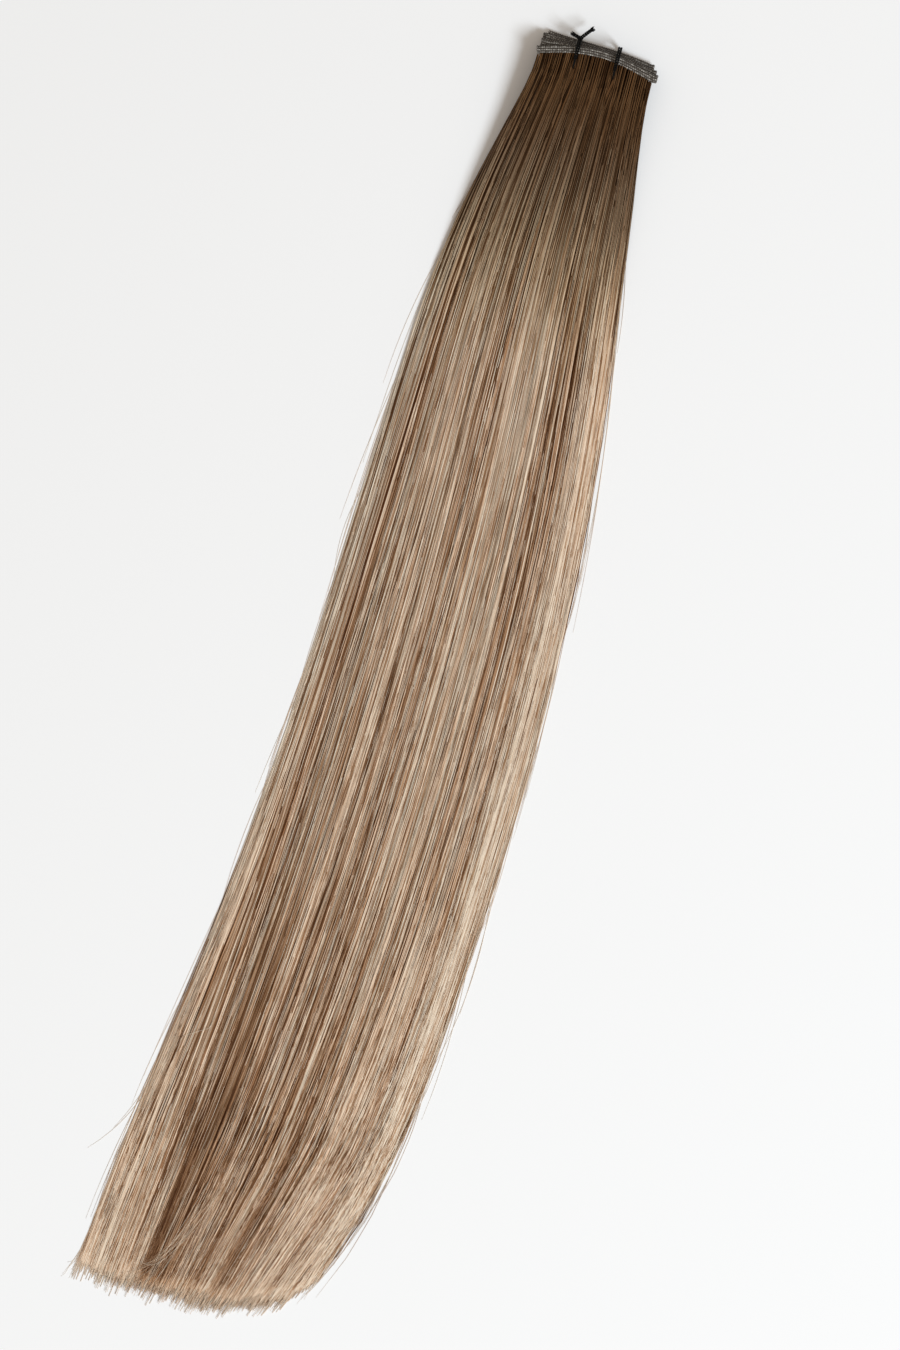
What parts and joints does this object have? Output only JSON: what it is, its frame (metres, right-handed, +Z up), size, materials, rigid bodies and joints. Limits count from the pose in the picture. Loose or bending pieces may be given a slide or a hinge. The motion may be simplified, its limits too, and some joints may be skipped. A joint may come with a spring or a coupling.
{
  "type": "hair weft",
  "caption": "Long straight hair weft laid flat: a narrow sewn band folded into a stack, curtains of two-tone hair falling from it, and thread ties that hold the folds together.",
  "frame": {"origin": "middle of the weft's bounding box, on the surface that it lies on", "axes": "+X along the sewn band, +Y from the tips towards the band, +Z up from the surface"},
  "size_m": [0.1448, 0.6234, 0.0134],
  "materials": {
    "band": "grey sewing thread over brown hair roots, slightly shiny",
    "hair": "smooth straight hair, ash brown at the root running into beige blonde streaks",
    "thread": "matt black twisted thread"
  },
  "bodies": {
    "root": {"weft_band": "band", "hair_layer_1": "hair", "hair_layer_2": "hair", "hair_layer_3": "hair", "hair_layer_4": "hair", "hair_layer_5": "hair", "hair_layer_6": "hair", "tie_left": "thread", "tie_right": "thread"}
  },
  "joints": []
}
